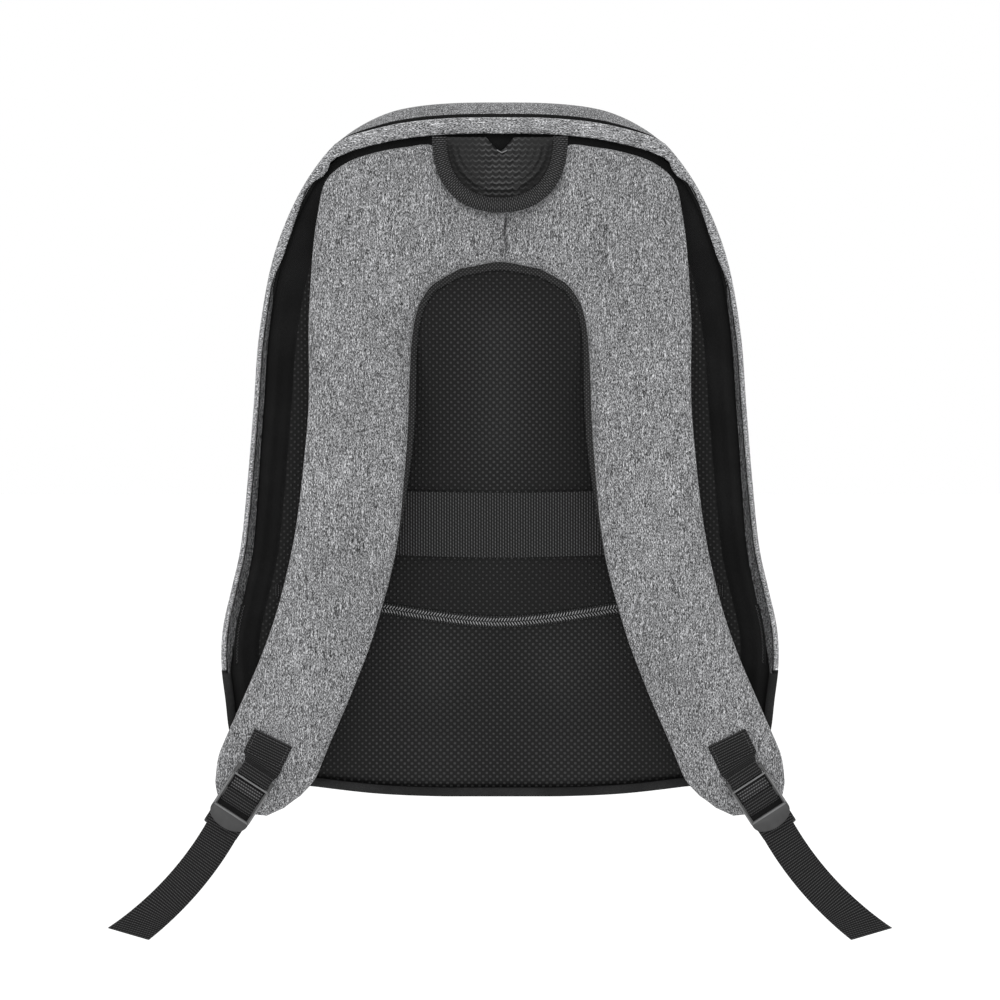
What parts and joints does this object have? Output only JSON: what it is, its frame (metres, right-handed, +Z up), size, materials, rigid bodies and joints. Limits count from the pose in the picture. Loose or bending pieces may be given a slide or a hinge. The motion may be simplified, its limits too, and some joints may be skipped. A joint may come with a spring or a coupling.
{
  "type": "anti theft backpack",
  "caption": "Grey heather anti theft backpack with a hollow padded shell, black base, mesh back panel, padded straps, ladder locks and free webbing tails.",
  "frame": {"origin": "middle of the seam that holds the grab loop, on the plane of the back panel", "axes": "+Z up, +X to the right of someone looking at the harness, +Y from the harness into the bag"},
  "size_m": [0.5068, 0.1893, 0.5404],
  "materials": {
    "grey_heather": "matte heather weave",
    "black_fabric": "matte plain weave",
    "black_mesh": "matte padded air mesh",
    "black_webbing": "ribbed webbing",
    "black_plastic": "satin moulded plastic"
  },
  "bodies": {
    "root": {"main_shell": "grey_heather", "base_shell": "black_fabric", "rear_rim": "grey_heather", "zip_channel": "black_fabric", "back_panel": "black_mesh", "grab_loop": "black_webbing", "handle_mesh": "black_mesh", "luggage_band": "black_webbing", "pocket_zip": "black_plastic", "left_strap_pad": "grey_heather", "right_strap_pad": "grey_heather", "left_strap_lining": "black_mesh", "right_strap_lining": "black_mesh", "left_side_zip": "black_plastic", "right_side_zip": "black_plastic", "left_webbing_patch": "black_webbing", "right_webbing_patch": "black_webbing", "left_ladder_lock": "black_plastic", "right_ladder_lock": "black_plastic", "left_adjuster_webbing": "black_webbing", "right_adjuster_webbing": "black_webbing"}
  },
  "joints": []
}
